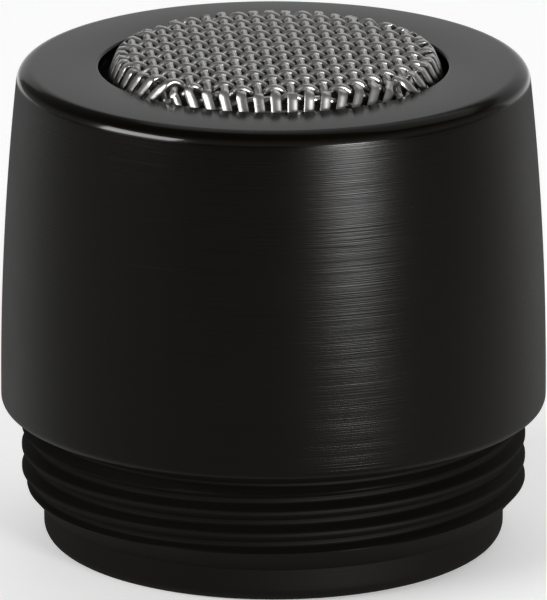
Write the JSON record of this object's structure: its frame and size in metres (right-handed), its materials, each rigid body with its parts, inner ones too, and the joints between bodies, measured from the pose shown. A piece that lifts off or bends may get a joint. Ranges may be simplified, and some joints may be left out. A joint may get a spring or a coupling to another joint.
{
  "type": "electret microphone capsule",
  "caption": "Black turned screw-in capsule with a domed woven-wire grille; turns sound into an electrical signal and screws by its rear thread into a microphone body or gooseneck.",
  "frame": {"origin": "centre of the foot of the pilot, on the axis", "axes": "+Z along the axis, up through the grille; +X and +Y across"},
  "size_m": [0.0122, 0.0122, 0.0113],
  "materials": {
    "black_anodised": "black anodised, satin, fine turning marks",
    "screen_wire": "dark grey woven wire",
    "acoustic_foam": "fine open-cell foam",
    "soft_rubber": "matt moulded rubber",
    "drawn_aluminium": "drawn, satin",
    "turned_brass": "turned",
    "metallised_film": "thin metallised film",
    "washer_film": "punched film",
    "ivory_moulding": "moulded",
    "circuit_board": "solder mask",
    "black_epoxy": "moulded epoxy",
    "tinned_legs": "tinned",
    "chip_ceramic": "fired ceramic",
    "red_insulation": "extruded insulation",
    "black_insulation": "extruded insulation",
    "gold_plate": "gold plated"
  },
  "bodies": {
    "root": {"housing": "black_anodised", "grille_screen": "screen_wire", "foam_disc": "acoustic_foam", "front_gasket": "soft_rubber", "shock_boot": "soft_rubber", "element_can": "drawn_aluminium", "diaphragm_ring": "turned_brass", "diaphragm": "metallised_film", "air_gap_washer": "washer_film", "backplate": "turned_brass", "backplate_holder": "ivory_moulding", "gate_ring": "turned_brass", "element_board": "circuit_board", "transistor": "black_epoxy", "transistor_legs": "tinned_legs", "chip_capacitors": "chip_ceramic", "spacer_sleeve": "ivory_moulding", "signal_lead": "red_insulation", "ground_lead": "black_insulation", "contact_board": "circuit_board", "centre_contact": "gold_plate", "ring_contact": "gold_plate", "retaining_ring": "black_anodised"}
  },
  "joints": []
}
